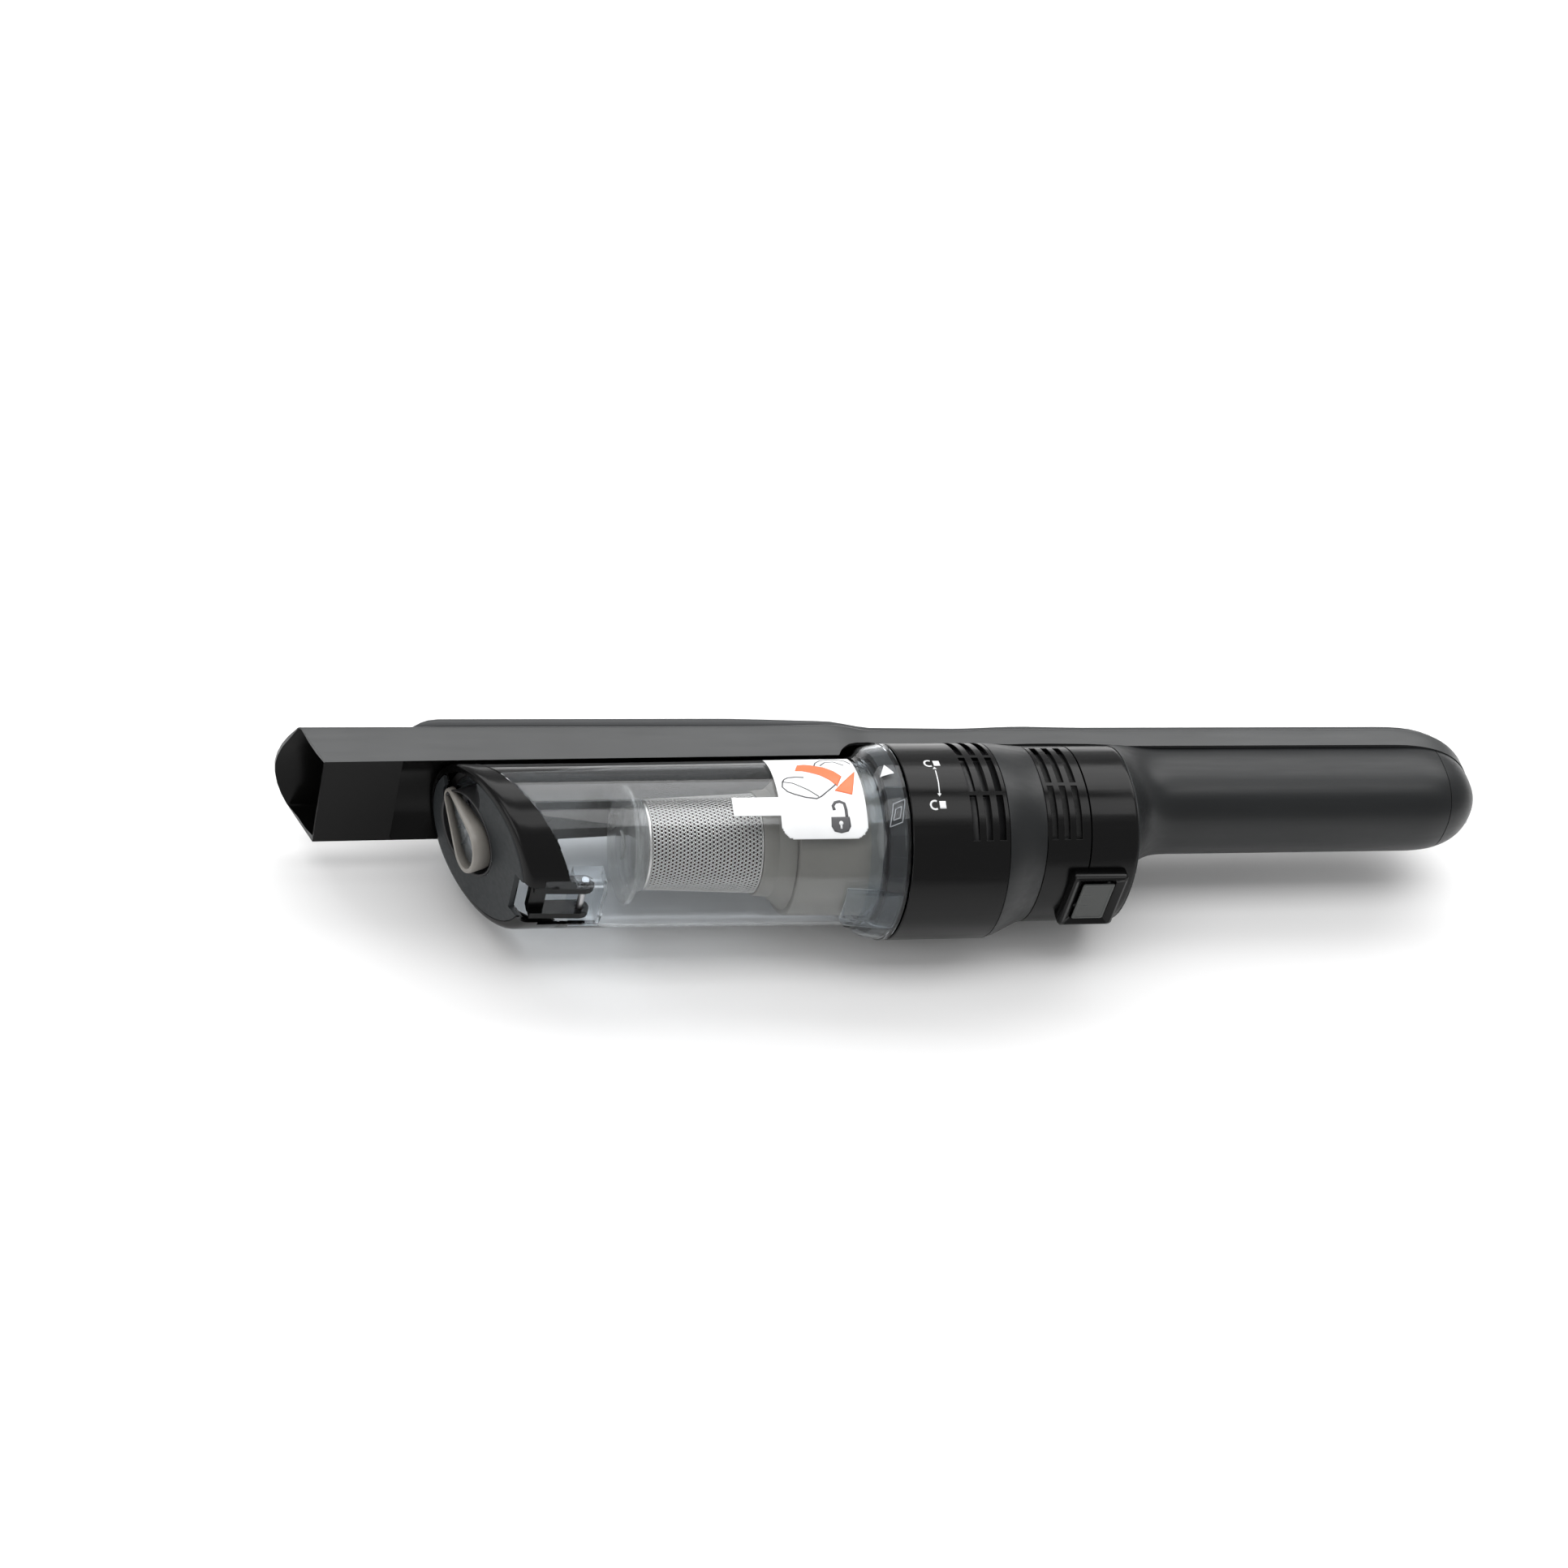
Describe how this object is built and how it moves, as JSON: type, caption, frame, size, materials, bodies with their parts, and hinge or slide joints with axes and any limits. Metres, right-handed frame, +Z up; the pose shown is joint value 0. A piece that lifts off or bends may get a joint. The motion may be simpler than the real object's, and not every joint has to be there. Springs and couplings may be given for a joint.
{
  "type": "cordless handheld vacuum cleaner",
  "caption": "Slim cordless handheld vacuum: long spine with a square suction nozzle, clear dust bin with hinged door, vented motor housing and a straight handle.",
  "frame": {"origin": "middle of the footprint, on the surface the vacuum lies on, on its side", "axes": "+X from the nozzle to the handle's end, +Y from the dust bin to the spine, +Z up, across the vacuum's width"},
  "size_m": [0.535, 0.098, 0.0836],
  "materials": {
    "satin_grey": "satin, fine moulded grain",
    "cover_grey": "satin, fine moulded grain",
    "satin_charcoal": "satin, soft highlight",
    "gloss_black": "gloss, moulded",
    "matte_dark": "matte, fine moulded grain",
    "button_grey": "satin, faintly translucent",
    "clear_smoky": "clear, smoky blue-grey, polished",
    "label_white": "printed film, satin",
    "steel": "turned, plain",
    "stainless_mesh": "perforated sheet",
    "filter_grey": "satin, slightly translucent",
    "filter_paper": "pleated paper",
    "rubber_black": "matte",
    "foam_black": "open foam",
    "inner_black": "moulded, matte",
    "iron": "lacquered laminations",
    "magnet": "coated",
    "nylon_white": "moulded nylon",
    "cell_sleeve": "shrink sleeve",
    "board_green": "solder mask"
  },
  "bodies": {
    "root": {"intake_duct": "satin_grey", "spine_shell": "satin_grey", "top_cover": "cover_grey", "cover_screw_1": "steel", "cover_screw_2": "steel", "cover_screw_3": "steel", "cover_screw_4": "steel", "handle_grip": "satin_charcoal", "handle_end_cap": "satin_charcoal", "motor_housing": "gloss_black", "motor_taper_ring": "satin_charcoal", "motor_housing_rear": "gloss_black", "rear_cap": "gloss_black", "release_guard": "gloss_black", "release_seat": "inner_black", "release_spring": "steel", "motor_can": "steel", "motor_end_bell": "inner_black", "bearing_front": "steel", "bearing_rear": "steel", "stator_stack": "iron", "motor_mount_ring": "rubber_black", "fan_shroud": "inner_black", "exhaust_foam": "foam_black", "battery_cell_1": "cell_sleeve", "battery_cell_2": "cell_sleeve", "battery_cell_3": "cell_sleeve", "battery_cell_4": "cell_sleeve", "cell_holder": "inner_black", "control_board": "board_green", "power_switch": "inner_black", "charge_socket": "steel", "filter_base": "filter_grey", "filter_skirt": "filter_grey", "mesh_screen": "stainless_mesh", "filter_flange": "filter_grey", "filter_cartridge": "filter_paper", "bin_seal": "rubber_black"},
    "rotor": {"motor_shaft": "steel", "rotor_magnet": "magnet", "impeller": "nylon_white"},
    "twist_ring": {"bayonet_ring": "inner_black"},
    "bin": {"bin_tube": "clear_smoky", "bin_collar": "clear_smoky", "bin_label": "label_white", "hinge_bracket": "clear_smoky", "hinge_pin": "steel"},
    "door": {"door_cap": "gloss_black", "door_face": "matte_dark", "door_gasket": "rubber_black", "latch_housing": "matte_dark", "door_hinge_arm": "gloss_black", "latch_pin": "steel"},
    "latch": {"latch_lever": "button_grey"},
    "release": {"release_button": "button_grey"},
    "power": {"power_button": "button_grey"}
  },
  "joints": [
    {"name": "rotor_spin", "type": "hinge", "parent": "root", "child": "rotor", "pos_m": [0.03345, -0.00715, 0.0418], "axis": [1, 0, 0], "continuous": true},
    {"name": "bin_twist", "type": "hinge", "parent": "root", "child": "twist_ring", "pos_m": [-0.02055, -0.00715, 0.0418], "axis": [1, 0, 0], "range_deg": [0, 28]},
    {"name": "bin_unseat", "type": "slide", "parent": "twist_ring", "child": "bin", "axis": [-1, 0, 0], "range_m": [0, 0.0034]},
    {"name": "door_hinge", "type": "hinge", "parent": "bin", "child": "door", "pos_m": [-0.15035, -0.03525, 0.0418], "axis": [0, 0, 1], "range_deg": [0, 100]},
    {"name": "latch_lift", "type": "hinge", "parent": "door", "child": "latch", "pos_m": [-0.19178, 0.00995, 0.0488], "axis": [0, 0, -1], "range_deg": [0, 18], "stiffness_Nm_per_rad": 0.15},
    {"name": "release_press", "type": "slide", "parent": "root", "child": "release", "axis": [0, 1, 0], "range_m": [0, 0.0025], "stiffness_N_per_m": 600, "deforming": ["release_spring"]},
    {"name": "power_press", "type": "slide", "parent": "root", "child": "power", "axis": [0, -1, 0], "range_m": [0, 0.0014], "stiffness_N_per_m": 900}
  ]
}
